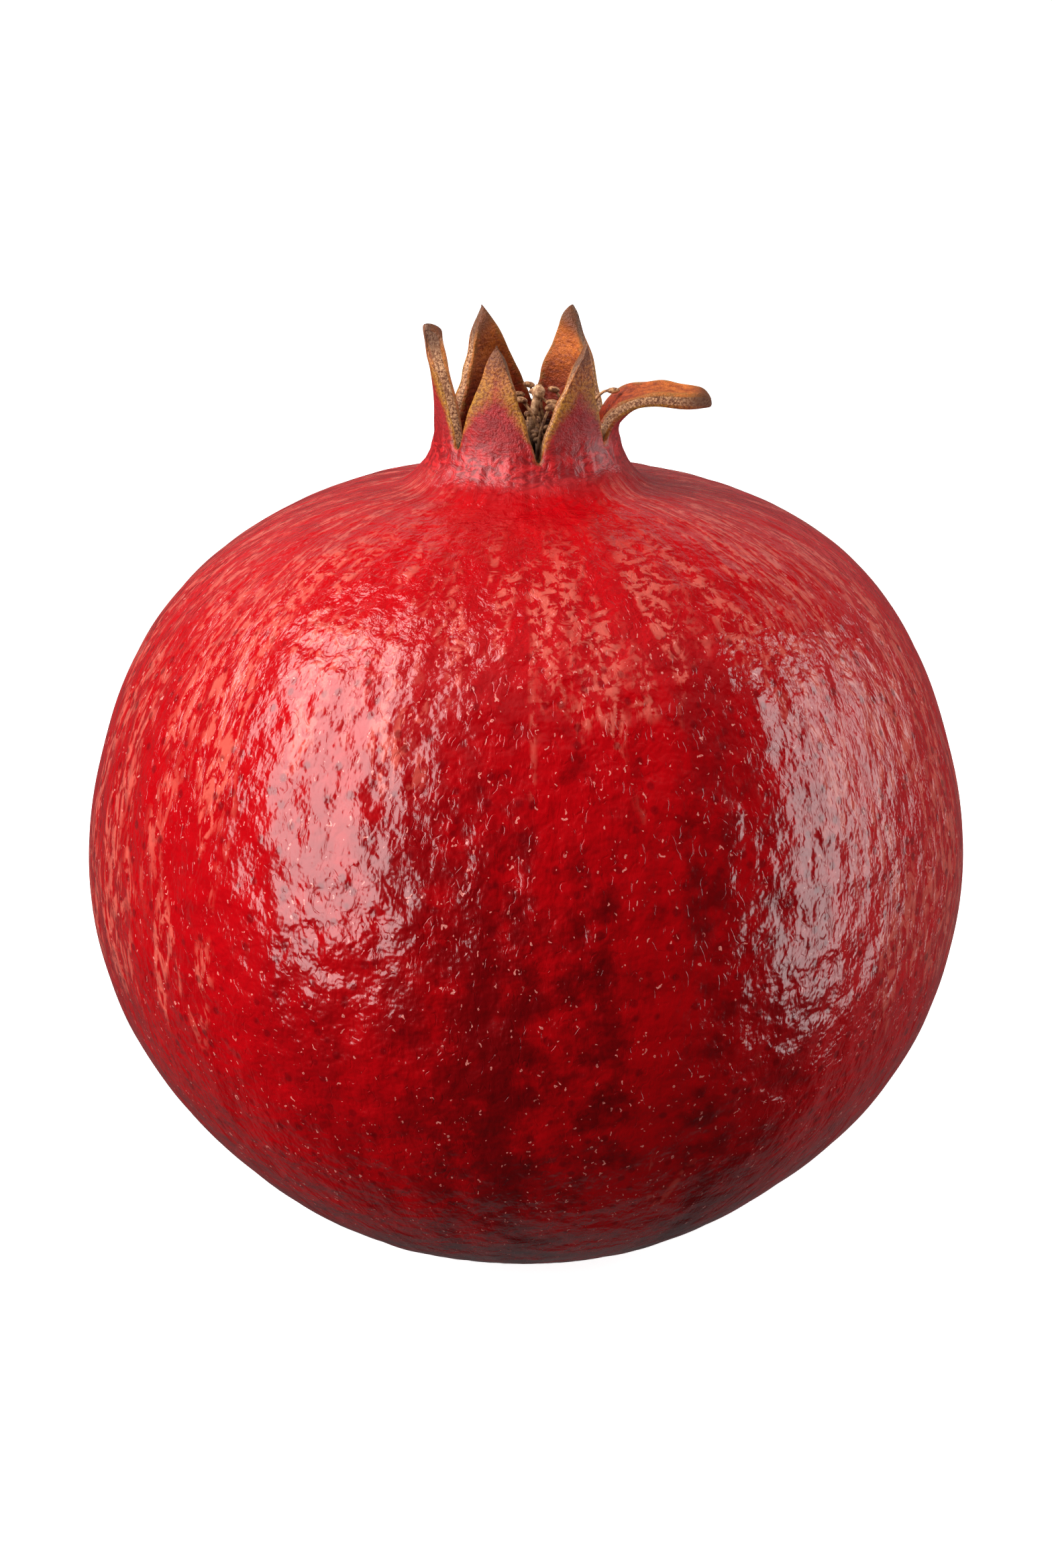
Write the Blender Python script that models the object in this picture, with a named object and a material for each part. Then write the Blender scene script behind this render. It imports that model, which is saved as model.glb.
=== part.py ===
"""A whole ripe pomegranate that stands on the flat spot at its stem end, crown up.

Units are metres and +Z is up. The origin is the middle of the flat spot, on the surface that the
fruit stands on. An azimuth is in degrees, 0 towards -Y and 90 towards +X.
"""

import math
import random

import bmesh
import bpy
from mathutils import Matrix, Vector

MM = 0.001
MERGE = 0.001 * MM
SHARP_ANGLE = math.radians(50)

# Body: two superellipse halves that meet at the widest level
BODY_RADIUS = 47.0 * MM
EQUATOR_Z = 45.0 * MM
LOWER_DEPTH = 45.73 * MM
LOWER_POWERS = (1.75, 2.25)
UPPER_HEIGHT = 41.1 * MM
UPPER_POWERS = (2.80, 1.94)

# Six soft ridges run down the body, and its shoulder stands higher on one side
LOBES = 6
LOBE_DEPTH = 0.011
LOBE_AZIMUTH = 30.0
LOBE_FADE = 1.2
SWELL = 1.2 * MM
SWELL_AZIMUTH = 100.0
SWELL_FADE = 4

# Flat spot and the dimple of the stem end
FLAT_RADIUS = 7.0 * MM
DIMPLE_RADIUS = 5.0 * MM
DIMPLE_DEPTH = 2.0 * MM
DIMPLE_RINGS = ((0, 1), (0.55, 1), (0.85, 0.8))

# Neck: it flares out from the rim, where the sepals begin, to the shoulder of the body
RIM_RADIUS = 9.9 * MM
SHOULDER_RADIUS = 13.4 * MM
FLARE_RATE = 2.3
WALL = 1.7 * MM
CUP_RADIUS = RIM_RADIUS - WALL
CUP_FLOOR_Z = 84.6 * MM
CUP_CORNER = 0.8 * MM

# Sepals: the notches between them, and of each sepal its length and its tip's thickness in mm, its
# lean from root to tip in degrees from upright, outwards positive, at equal steps, how far its tip
# swerves sideways in mm, and the power that its width tapers by. The one that is bent down also
# turns about its own length, by the twist at its tip.
NOTCH_AZIMUTHS = (-48.6, 8.1, 58.6, 116.0, 176.0, 239.0)
NOTCH_Z = (90.4 * MM, 89.6 * MM, 90.9 * MM, 91.0 * MM, 92.6 * MM, 91.0 * MM)
SEPALS = (
    {"length": 11.7, "tip": 1.1, "lean": (-9, -6, -4, -4, -6, -10), "swerve": 0.1, "taper": 0.88},
    {"length": 11.4, "tip": 1.1, "lean": (-9, -2, 4, 8, 12, 16), "swerve": 0.4, "taper": 0.88},
    {"length": 11.9, "tip": 1.9, "lean": (-4, 45, 77, 92, 94, 88), "swerve": -0.6, "taper": 0.78},
    {"length": 11.0, "tip": 1.1, "lean": (-9, -7, -6, -8, -6, 2), "swerve": -0.7, "taper": 0.72},
    {"length": 11.2, "tip": 1.1, "lean": (-9, -8, -8, -8, -6, -2), "swerve": 1.4, "taper": 0.85},
    {"length": 12.1, "tip": 2.4, "lean": (-7, -2, 6, 15, 10, 2), "swerve": 0.0, "taper": 0.88},
)
BENT_SEPAL = 2
BENT_TWIST = math.radians(12)
SEPAL_WALL = 1.1 * MM
TIP_END = 0.97
TIP_BEVEL = 0.4
ROOT_SHARE = 0.2
SPINE_STEPS = 40

# Grid of the fruit's skin
COLUMNS_PER_SEPAL = 10
BODY_ROWS = 24
NECK_ROWS = 4
SEPAL_ROWS = 8
CUP_ROWS = 3

# Stamens: a ring in the cup, and the filaments that rise from it, each with an anther at its tip.
# Pairs are the least and the most of what varies between them, and spreads are in degrees.
GAP = 0.3 * MM
STAMEN_COUNT = 34
STAMEN_SEED = 11
STAMEN_RING = (2.6 * MM, 7.2 * MM)
STAMEN_RING_HEIGHT = 0.9 * MM
STAMEN_RING_STEPS = 30
STAMEN_ROOT = (5.2 * MM, 6.7 * MM)
STAMEN_BELLY = (5.6 * MM, 6.9 * MM)
STAMEN_BELLY_RISE = 0.6
STAMEN_REACH = (1.8 * MM, 6.0 * MM)
STAMEN_RISE = (5.6 * MM, 10.2 * MM)
ROOT_SPREAD = 5.0
BELLY_SPREAD = 14.0
TIP_SPREAD = 34.0
FILAMENT_RADIUS = 0.26 * MM
FILAMENT_TAPER = 0.25
FILAMENT_STEPS = 5
ANTHER_RADII = (0.42 * MM, 0.42 * MM, 0.70 * MM)
ANTHER_ROLL = (0.6, 1.5)

# One long filament strays out over the sepal that is bent down
STRAY_AZIMUTH = 95.0
STRAY_ROOT = 6.0 * MM
STRAY_REACH = 9.3 * MM
STRAY_RISE = 10.5 * MM
STRAY_ARCH = 0.5 * MM

# Style: a leaning stalk on a swollen foot, with a round stigma. Foot and stalk are pairs of a share
# of the height and a share of the foot's or the stalk's radius.
STYLE_HEIGHT = 11.2 * MM
STYLE_LEAN = 1.5 * MM
STYLE_FOOT_RADIUS = 1.4 * MM
STYLE_RADIUS = 0.50 * MM
STYLE_FOOT = ((0, 1), (0.06, 0.9), (0.16, 0.43))
STYLE_STALK = ((0.4, 1), (0.7, 0.9), (0.86, 0.9))
STIGMA_RADIUS = 0.75 * MM
STIGMA_LATITUDES = (-50, -15, 20, 60)
STYLE_CLEAR = 1.5 * MM
STYLE_KNOTS = 12

# Stem stub: its cut end is the narrower one
STUB_RADIUS = 2.8 * MM
STUB_CUT_SHARE = 0.8
STUB_CLEAR = 0.5 * MM
STUB_STEPS = 20


def bezier(points, t):
    a, b, c = points
    return a * (1 - t) ** 2 + b * 2 * t * (1 - t) + c * t * t


def radial(azimuth):
    """Unit vector that points out from the axis at an azimuth."""
    a = math.radians(azimuth)
    return Vector((math.sin(a), -math.cos(a), 0))


def around(azimuth, radius, z):
    """The point at an azimuth and a radius, at a height."""
    return radial(azimuth) * radius + Vector((0, 0, z))


def superellipse(angle, height, powers):
    """Radius and rise above the equator at an angle, 0 at the equator and 90 degrees at the pole."""
    r = BODY_RADIUS * math.cos(angle) ** (2 / powers[0])
    return r, height * math.sin(angle) ** (2 / powers[1])


def angle_at_radius(radius, powers):
    return math.acos((radius / BODY_RADIUS) ** (powers[0] / 2))


def lobed(azimuth, radius, angle):
    """Radius swollen by the soft ridges, which fade out towards both poles."""
    ridge = math.cos(math.radians(LOBES * (azimuth - LOBE_AZIMUTH)))
    return radius * (1 + LOBE_DEPTH * math.cos(angle) ** LOBE_FADE * ridge)


def swollen(azimuth, angle):
    """Extra rise of the shoulder on the fruit's higher side."""
    side = 0.5 + 0.5 * math.cos(math.radians(azimuth - SWELL_AZIMUTH))
    return SWELL * side * math.sin(2 * max(angle, 0)) ** SWELL_FADE


def body_stations():
    """Rings from the middle of the dimple to the shoulder, as (radius, z, angle from the equator)."""
    pole = math.pi / 2
    stations = [(r * DIMPLE_RADIUS, depth * DIMPLE_DEPTH, pole) for r, depth in DIMPLE_RINGS]
    for r in (DIMPLE_RADIUS, 0.5 * (DIMPLE_RADIUS + FLAT_RADIUS), FLAT_RADIUS):
        stations.append((r, 0, pole))
    low = -angle_at_radius(FLAT_RADIUS, LOWER_POWERS)
    high = angle_at_radius(SHOULDER_RADIUS, UPPER_POWERS)
    for i in range(1, BODY_ROWS):
        angle = low + (high - low) * i / BODY_ROWS
        if angle < 0:
            r, drop = superellipse(-angle, LOWER_DEPTH, LOWER_POWERS)
            stations.append((r, EQUATOR_Z - drop, angle))
        else:
            r, rise = superellipse(angle, UPPER_HEIGHT, UPPER_POWERS)
            stations.append((r, EQUATOR_Z + rise, angle))
    r, rise = superellipse(high, UPPER_HEIGHT, UPPER_POWERS)
    stations.append((r, EQUATOR_Z + rise, pole))
    return stations


def neck_radius(t):
    """Outer radius of the neck, from the shoulder at t = 0 to the rim at t = 1."""
    end = math.exp(-FLARE_RATE)
    fade = (math.exp(-FLARE_RATE * t) - end) / (1 - end)
    return RIM_RADIUS + (SHOULDER_RADIUS - RIM_RADIUS) * fade


def sector(index, u):
    """Azimuth, half angle and notch height at u across a sepal's sector, u from -1 to 1."""
    following = (index + 1) % len(SEPALS)
    start = NOTCH_AZIMUTHS[index]
    end = NOTCH_AZIMUTHS[following] + (360 if following == 0 else 0)
    share = (u + 1) / 2
    notch_z = NOTCH_Z[index] * (1 - share) + NOTCH_Z[following] * share
    return start + (end - start) * share, (end - start) / 2, notch_z


def lean_at(leans, s):
    """Lean in radians at a share s of the sepal's length, eased between the listed values."""
    place = s * (len(leans) - 1)
    i = min(int(place), len(leans) - 2)
    f = place - i
    f = f * f * (3 - 2 * f)
    return math.radians(leans[i] * (1 - f) + leans[i + 1] * f)


def sepal_spine(sepal, s):
    """Outward run, rise and lean of the outer face's middle line at a share s of its length."""
    run = rise = 0.0
    step = s * sepal["length"] * MM / SPINE_STEPS
    for i in range(SPINE_STEPS):
        lean = lean_at(sepal["lean"], s * (i + 0.5) / SPINE_STEPS)
        run += math.sin(lean) * step
        rise += math.cos(lean) * step
    return run, rise, lean_at(sepal["lean"], s)


def sepal_point(index, u, s, inner):
    """A point of a sepal: u across it, s from 0 at the notches to 1 at the tip.

    The cross-section starts level at the root, so that neighbours meet, and then turns with the lean.
    """
    sepal = SEPALS[index]
    azimuth, half, notch_z = sector(index, u)
    middle = azimuth - u * half
    run, rise, lean = sepal_spine(sepal, s)
    depth = bezier((WALL, SEPAL_WALL, sepal["tip"] * MM), s) * inner
    if s == 1:
        depth *= TIP_BEVEL
    arc_radius = RIM_RADIUS - depth
    across = arc_radius * math.sin(math.radians(u * half)) * (1 - s * TIP_END) ** sepal["taper"]
    sag = arc_radius - math.sqrt(arc_radius**2 - across**2)
    across += sepal["swerve"] * MM * s * s
    tilt = lean * min(1, s / ROOT_SHARE)
    inward = Vector((0, 0, math.sin(tilt))) - radial(middle) * math.cos(tilt)
    twist = BENT_TWIST * s if index == BENT_SEPAL else 0
    turned_side = radial(middle + 90) * math.cos(twist) + inward * math.sin(twist)
    turned_inward = inward * math.cos(twist) - radial(middle + 90) * math.sin(twist)
    foot = around(middle, RIM_RADIUS + run, notch_z + rise)
    return foot + turned_side * across + turned_inward * (depth + sag)


def skin_rows():
    """The fruit's skin from the dimple, up the outside, over the sepals and down into the cup.

    Each row is a function of the sector's index and u, with the values that the row gives it. Also
    gives the rows where the outer face leaves the rim, where it reaches the tip, and where the
    inner face comes back to the rim.
    """
    stations = body_stations()
    shoulder_z = stations[-1][1]

    def body(k, u, station):
        r, z, angle = station
        azimuth = sector(k, u)[0]
        return around(azimuth, lobed(azimuth, r, angle), z + swollen(azimuth, angle))

    def neck(k, u, t):
        azimuth, _, notch_z = sector(k, u)
        return around(azimuth, neck_radius(t), shoulder_z + (notch_z - shoulder_z) * t)

    def cup_wall(k, u, t):
        azimuth, _, notch_z = sector(k, u)
        low = CUP_FLOOR_Z + CUP_CORNER
        return around(azimuth, CUP_RADIUS, notch_z + (low - notch_z) * t)

    def cup_floor(k, u, r):
        return around(sector(k, u)[0], r, CUP_FLOOR_Z)

    rows = [(body, (station,)) for station in stations]
    rows += [(neck, (i / NECK_ROWS,)) for i in range(1, NECK_ROWS)]
    rim_row = len(rows)
    rows += [(sepal_point, (i / SEPAL_ROWS, 0)) for i in range(SEPAL_ROWS + 1)]
    tip_row = len(rows) - 1
    rows += [(sepal_point, (1 - i / SEPAL_ROWS, 1)) for i in range(SEPAL_ROWS + 1)]
    inner_row = len(rows) - 1
    rows += [(cup_wall, (i / CUP_ROWS,)) for i in range(1, CUP_ROWS + 1)]
    rows += [(cup_floor, (r,)) for r in (CUP_RADIUS - CUP_CORNER, 0.5 * CUP_RADIUS, 0)]
    return rows, (rim_row, tip_row, inner_row)


def material(name, colour, roughness):
    made = bpy.data.materials.new(name)
    made.use_nodes = True
    shader = made.node_tree.nodes["Principled BSDF"]
    shader.inputs["Base Color"].default_value = (*colour, 1)
    shader.inputs["Roughness"].default_value = roughness
    shader.inputs["Metallic"].default_value = 0
    return made


def rind_material():
    return material("rind", (0.42, 0.012, 0.016), 0.32)


def dry_stamen_material():
    return material("dry_stamen", (0.42, 0.24, 0.12), 0.8)


def dry_style_material():
    return material("dry_style", (0.55, 0.36, 0.20), 0.75)


def stem_wood_material():
    return material("stem_wood", (0.22, 0.13, 0.07), 0.85)


def add_object(name, bm, collection, finish=None):
    """Closes off a bmesh as a named object with smooth faces and sharp edges."""
    mesh = bpy.data.meshes.new(name)
    bm.to_mesh(mesh)
    bm.free()
    mesh.shade_smooth()
    mesh.set_sharp_from_angle(angle=SHARP_ANGLE)
    obj = bpy.data.objects.new(name, mesh)
    collection.objects.link(obj)
    if finish:
        mesh.materials.append(finish)
    return obj


def bridge_sepal_side(bm, verts, side, marks):
    """Closes one side of a sepal, between the edge of its outer face and that of its inner face."""
    rim_row, tip_row, inner_row = marks
    outer = {v for v, (column, row) in verts.items() if column == side and rim_row <= row <= tip_row}
    inner = {v for v, (column, row) in verts.items() if column == side and tip_row < row <= inner_row}
    chains = [edge for edge in bm.edges if set(edge.verts) <= outer or set(edge.verts) <= inner]
    bmesh.ops.bridge_loops(bm, edges=chains)


def make_fruit(collection):
    """Six sectors of one skin, each with a sepal, merged where they meet."""
    rows, marks = skin_rows()
    last_row = len(rows) - 1
    bm = bmesh.new()
    for index in range(len(SEPALS)):
        grid = bmesh.ops.create_grid(bm, x_segments=COLUMNS_PER_SEPAL, y_segments=last_row, size=1)
        verts = {}
        for v in grid["verts"]:
            column = round((v.co.x + 1) / 2 * COLUMNS_PER_SEPAL)
            row = round((v.co.y + 1) / 2 * last_row)
            verts[v] = (column, row)
            place, values = rows[row]
            v.co = place(index, 2 * column / COLUMNS_PER_SEPAL - 1, *values)
        for side in (0, COLUMNS_PER_SEPAL):
            bridge_sepal_side(bm, verts, side, marks)
    bmesh.ops.remove_doubles(bm, verts=bm.verts, dist=MERGE)
    bmesh.ops.dissolve_degenerate(bm, edges=bm.edges, dist=MERGE)
    bmesh.ops.recalc_face_normals(bm, faces=bm.faces)
    return add_object("fruit", bm, collection, rind_material())


def turned(bm, profile, steps):
    """Turns a profile of (radius, z) points about the Z axis."""
    points = [bm.verts.new((r, 0, z)) for r, z in profile]
    edges = [bm.edges.new(pair) for pair in zip(points, points[1:])]
    bmesh.ops.spin(
        bm, geom=points + edges, cent=(0, 0, 0), axis=(0, 0, 1), angle=math.tau, steps=steps, use_merge=True
    )
    bmesh.ops.remove_doubles(bm, verts=bm.verts, dist=MERGE)
    bmesh.ops.recalc_face_normals(bm, faces=bm.faces)


def add_tube(name, points, radii, collection, resolution=0):
    """A closed tube of varying radius through a list of points, from a curve made into a mesh."""
    curve = bpy.data.curves.new(name, "CURVE")
    curve.dimensions = "3D"
    curve.bevel_depth = 1
    curve.bevel_resolution = resolution
    curve.use_fill_caps = True
    spline = curve.splines.new("POLY")
    spline.points.add(len(points) - 1)
    for knot, point, radius in zip(spline.points, points, radii):
        knot.co = (*point, 1)
        knot.radius = radius
    guide = bpy.data.objects.new(name, curve)
    collection.objects.link(guide)
    graph = bpy.context.evaluated_depsgraph_get()
    mesh = bpy.data.meshes.new_from_object(guide.evaluated_get(graph))
    bpy.data.objects.remove(guide)
    bm = bmesh.new()
    bm.from_mesh(mesh)
    bmesh.ops.remove_doubles(bm, verts=bm.verts, dist=MERGE)
    bmesh.ops.recalc_face_normals(bm, faces=bm.faces)
    return add_object(name, bm, collection)


def style_spine(t):
    """A point of the style's middle line, from its foot at t = 0 to its top at t = 1."""
    return Vector((STYLE_LEAN * t * t, 0, STYLE_HEIGHT * t))


def clear_of_style(points):
    spine = [style_spine(i / STYLE_KNOTS) for i in range(STYLE_KNOTS + 1)]
    return all((point - knot).length > STYLE_CLEAR for point in points for knot in spine)


def arched(root, belly, tip):
    return [bezier((root, belly, tip), i / FILAMENT_STEPS) for i in range(FILAMENT_STEPS + 1)]


def drawn_filament(number, draw):
    """The middle line of one filament, bent in over the cup. Heights are from the ring's foot."""
    azimuth = 360 * number / STAMEN_COUNT + draw.uniform(-ROOT_SPREAD, ROOT_SPREAD)
    low = 0.5 * STAMEN_RING_HEIGHT
    rise = draw.uniform(*STAMEN_RISE)
    root = around(azimuth, draw.uniform(*STAMEN_ROOT), low)
    belly_azimuth = azimuth + draw.uniform(-BELLY_SPREAD, BELLY_SPREAD)
    belly = around(belly_azimuth, draw.uniform(*STAMEN_BELLY), low + STAMEN_BELLY_RISE * rise)
    tip_azimuth = azimuth + draw.uniform(-TIP_SPREAD, TIP_SPREAD)
    tip = around(tip_azimuth, draw.uniform(*STAMEN_REACH), low + rise)
    return arched(root, belly, tip)


def stray_filament():
    root = around(STRAY_AZIMUTH, STRAY_ROOT, 0.5 * STAMEN_RING_HEIGHT)
    belly = around(STRAY_AZIMUTH, STRAY_ROOT, STRAY_RISE + STRAY_ARCH)
    tip = around(STRAY_AZIMUTH, STRAY_REACH, STRAY_RISE)
    return arched(root, belly, tip)


def make_stamen(number, points, roll, collection):
    """One filament with its anther."""
    thinning = [1 - FILAMENT_TAPER * i / FILAMENT_STEPS for i in range(FILAMENT_STEPS + 1)]
    add_tube(f"filament_{number}", points, [FILAMENT_RADIUS * share for share in thinning], collection)
    bm = bmesh.new()
    along = (points[-1] - points[-2]).to_track_quat("Z", "Y").to_matrix().to_4x4()
    place = Matrix.Translation(points[-1]) @ along @ Matrix.Rotation(roll, 4, "X")
    place = place @ Matrix.Diagonal((*ANTHER_RADII, 1))
    bmesh.ops.create_icosphere(bm, subdivisions=1, radius=1, matrix=place)
    add_object(f"anther_{number}", bm, collection)


def make_stamens(collection):
    """The ring on the cup's floor, joined with every filament and anther."""
    inner, outer = STAMEN_RING
    top = STAMEN_RING_HEIGHT
    bm = bmesh.new()
    turned(bm, ((inner, 0), (outer, 0), (outer, top), (inner, top), (inner, 0)), STAMEN_RING_STEPS)
    stamens = add_object("stamens", bm, collection, dry_stamen_material())
    pieces = bpy.data.collections.new("stamen_pieces")
    bpy.context.scene.collection.children.link(pieces)
    draw = random.Random(STAMEN_SEED)
    for number in range(STAMEN_COUNT):
        points = drawn_filament(number, draw)
        while not clear_of_style(points):
            points = drawn_filament(number, draw)
        make_stamen(number, points, draw.uniform(*ANTHER_ROLL), pieces)
    make_stamen(STAMEN_COUNT, stray_filament(), 0, pieces)
    union = stamens.modifiers.new("join_stamens", "BOOLEAN")
    union.operation = "UNION"
    union.operand_type = "COLLECTION"
    union.collection = pieces
    union.solver = "EXACT"
    graph = bpy.context.evaluated_depsgraph_get()
    joined = bpy.data.meshes.new_from_object(stamens.evaluated_get(graph))
    stamens.modifiers.clear()
    stamens.data = joined
    for piece in list(pieces.objects):
        bpy.data.objects.remove(piece)
    bpy.data.collections.remove(pieces)
    stamens.location.z = CUP_FLOOR_Z + GAP
    return stamens


def make_style(collection):
    """One tube: the foot tapers into the stalk, and the stalk swells into the stigma."""
    shape = [(t, share * STYLE_FOOT_RADIUS) for t, share in STYLE_FOOT]
    shape += [(t, share * STYLE_RADIUS) for t, share in STYLE_STALK]
    for latitude in STIGMA_LATITUDES:
        a = math.radians(latitude)
        t = 1 - STIGMA_RADIUS * (1 - math.sin(a)) / STYLE_HEIGHT
        shape.append((t, STIGMA_RADIUS * math.cos(a)))
    points = [style_spine(t) for t, _ in shape]
    style = add_tube("style", points, [radius for _, radius in shape], collection, resolution=2)
    style.data.materials.append(dry_style_material())
    style.location.z = CUP_FLOOR_Z + GAP
    return style


def make_stem_stub(collection):
    """The cut end of the stem, between the dimple's floor and just above the surface."""
    height = DIMPLE_DEPTH - GAP - STUB_CLEAR
    cut = STUB_CUT_SHARE * STUB_RADIUS
    waist = 0.5 * (STUB_RADIUS + cut)
    profile = ((0, height), (STUB_RADIUS, height), (waist, 0.5 * height), (cut, 0), (0, 0))
    bm = bmesh.new()
    turned(bm, profile, STUB_STEPS)
    stub = add_object("stem_stub", bm, collection, stem_wood_material())
    stub.location.z = STUB_CLEAR
    return stub


def main():
    for obj in list(bpy.data.objects):
        bpy.data.objects.remove(obj)
    pomegranate = bpy.data.collections.new("pomegranate")
    bpy.context.scene.collection.children.link(pomegranate)
    fruit = make_fruit(pomegranate)
    for piece in (make_stamens(pomegranate), make_style(pomegranate), make_stem_stub(pomegranate)):
        piece.parent = fruit


main()
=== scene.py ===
"""Looks of a whole ripe pomegranate: its skin, crown, stamens and stem end, in soft studio light.

Units are metres and +Z is up. An azimuth is in degrees, 0 towards -Y and 90 towards +X. The named
dimensions repeat those of the solids, and the skin follows the same rules at many more points.
Inside a finish, lengths are in millimetres.
"""

import functools
import math
import random

import bmesh
import bpy
from mathutils import Matrix, Quaternion, Vector, noise

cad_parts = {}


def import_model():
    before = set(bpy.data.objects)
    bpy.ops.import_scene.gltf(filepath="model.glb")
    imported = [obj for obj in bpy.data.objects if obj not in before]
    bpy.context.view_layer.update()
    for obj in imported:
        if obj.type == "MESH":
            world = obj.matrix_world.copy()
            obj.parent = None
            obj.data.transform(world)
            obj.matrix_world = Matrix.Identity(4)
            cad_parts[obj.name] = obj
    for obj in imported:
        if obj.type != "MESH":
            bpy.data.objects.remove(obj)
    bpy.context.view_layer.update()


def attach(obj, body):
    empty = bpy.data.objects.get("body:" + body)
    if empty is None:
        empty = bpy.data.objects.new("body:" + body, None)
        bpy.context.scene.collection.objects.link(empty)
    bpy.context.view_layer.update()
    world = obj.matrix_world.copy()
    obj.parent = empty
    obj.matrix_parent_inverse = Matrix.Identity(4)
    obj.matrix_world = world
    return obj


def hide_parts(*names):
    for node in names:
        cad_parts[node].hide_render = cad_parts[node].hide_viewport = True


MM = 0.001
MERGE = 0.001 * MM

# Body: two superellipse halves that meet at the widest level
BODY_RADIUS = 47.0 * MM
EQUATOR_Z = 45.0 * MM
LOWER_DEPTH = 45.73 * MM
LOWER_POWERS = (1.75, 2.25)
UPPER_HEIGHT = 41.1 * MM
UPPER_POWERS = (2.80, 1.94)

# Six soft ridges run down the body, and its shoulder stands higher on one side
LOBES = 6
LOBE_DEPTH = 0.011
LOBE_AZIMUTH = 30.0
LOBE_FADE = 1.2
SWELL = 1.2 * MM
SWELL_AZIMUTH = 100.0
SWELL_FADE = 4

# Flat spot and the dimple of the stem end
FLAT_RADIUS = 7.0 * MM
DIMPLE_RADIUS = 5.0 * MM
DIMPLE_DEPTH = 2.0 * MM
DIMPLE_RINGS = ((0, 1), (0.3, 1), (0.55, 1), (0.7, 0.96), (0.85, 0.8), (0.94, 0.45))

# Neck: it flares out from the rim, where the sepals begin, to the shoulder of the body
RIM_RADIUS = 9.9 * MM
SHOULDER_RADIUS = 13.4 * MM
FLARE_RATE = 2.3
WALL = 1.7 * MM
CUP_RADIUS = RIM_RADIUS - WALL
CUP_FLOOR_Z = 84.6 * MM
CUP_CORNER = 0.8 * MM

# Sepals: the notches between them, and of each sepal its length and its tip's thickness in mm, its
# lean from root to tip in degrees from upright, outwards positive, at equal steps, how far its tip
# swerves sideways in mm, and the power that its width tapers by. The one that is bent down also
# turns about its own length, by the twist at its tip. Beyond a share of the length the tip rounds off.
NOTCH_AZIMUTHS = (-48.6, 8.1, 58.6, 116.0, 176.0, 239.0)
NOTCH_Z = (90.4 * MM, 89.6 * MM, 90.9 * MM, 91.0 * MM, 92.6 * MM, 91.0 * MM)
SEPALS = (
    {"length": 11.7, "tip": 1.1, "lean": (-9, -6, -4, -4, -6, -10), "swerve": 0.1, "taper": 0.88},
    {"length": 11.4, "tip": 1.1, "lean": (-9, -2, 4, 8, 12, 16), "swerve": 0.4, "taper": 0.88},
    {"length": 11.9, "tip": 1.9, "lean": (-4, 45, 77, 92, 94, 88), "swerve": -0.6, "taper": 0.78},
    {"length": 11.0, "tip": 1.1, "lean": (-9, -7, -6, -8, -6, 2), "swerve": -0.7, "taper": 0.72},
    {"length": 11.2, "tip": 1.1, "lean": (-9, -8, -8, -8, -6, -2), "swerve": 1.4, "taper": 0.85},
    {"length": 12.1, "tip": 2.4, "lean": (-7, -2, 6, 15, 10, 2), "swerve": 0.0, "taper": 0.88},
)
BENT_SEPAL = 2
BENT_TWIST = math.radians(12)
SEPAL_WALL = 1.1 * MM
TIP_END = 0.97
TIP_BEVEL = 0.4
TIP_ROUND = 0.88
ROOT_SHARE = 0.2
SPINE_STEPS = 40

# Grid of the skin, before it is subdivided once
COLUMNS_PER_SEPAL = 24
BODY_ROWS = 62
NECK_ROWS = 10
SEPAL_ROWS = 20
CUP_ROWS = 8

# Unevenness of the skin: how deep it is, and how large its bumps are
DENT = 0.30 * MM
DENT_SIZE = 17 * MM
WRINKLE = 0.10 * MM
WRINKLE_SIZE = Vector((2.6, 2.6, 9.0)) * MM
NECK_WRINKLE = 0.16 * MM
NECK_WRINKLE_SIZE = Vector((7.0, 7.0, 1.5)) * MM
CURL = 0.30 * MM
CURL_SIZE = 3.2 * MM
RAGGED = 0.07
RAGGED_WAVES = 6
STAND_FADE = 5 * MM

# Stamens: a ring in the cup, and the filaments that rise from it, each with an anther at its tip.
# Pairs are the least and the most of what varies between them, and spreads are in degrees.
GAP = 0.3 * MM
STAMEN_COUNT = 34
STAMEN_SEED = 11
STAMEN_RING = (2.6 * MM, 7.2 * MM)
STAMEN_RING_HEIGHT = 0.9 * MM
STAMEN_RING_BEVEL = 0.3
STAMEN_ROOT = (5.2 * MM, 6.7 * MM)
STAMEN_BELLY = (5.6 * MM, 6.9 * MM)
STAMEN_BELLY_RISE = 0.6
STAMEN_REACH = (1.8 * MM, 6.0 * MM)
STAMEN_RISE = (5.6 * MM, 10.2 * MM)
ROOT_SPREAD = 5.0
BELLY_SPREAD = 14.0
TIP_SPREAD = 34.0
FILAMENT_RADIUS = 0.26 * MM
FILAMENT_TAPER = 0.45
FILAMENT_STEPS = 12
FILAMENT_RESOLUTION = 1
FILAMENT_WAVE = 0.14 * MM
ANTHER_RADII = (0.46 * MM, 0.36 * MM, 0.72 * MM)
ANTHER_ROLL = (0.6, 1.5)
ANTHER_CLEFT = 0.35
ANTHER_CLEFT_RATE = 2.5
SHORT_COUNT = 70
SHORT_SEED = 5
SHORT_SHARE = 0.62

# One long filament strays out over the sepal that is bent down
STRAY_AZIMUTH = 95.0
STRAY_ROOT = 6.0 * MM
STRAY_REACH = 9.3 * MM
STRAY_RISE = 10.5 * MM
STRAY_ARCH = 0.5 * MM

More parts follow.
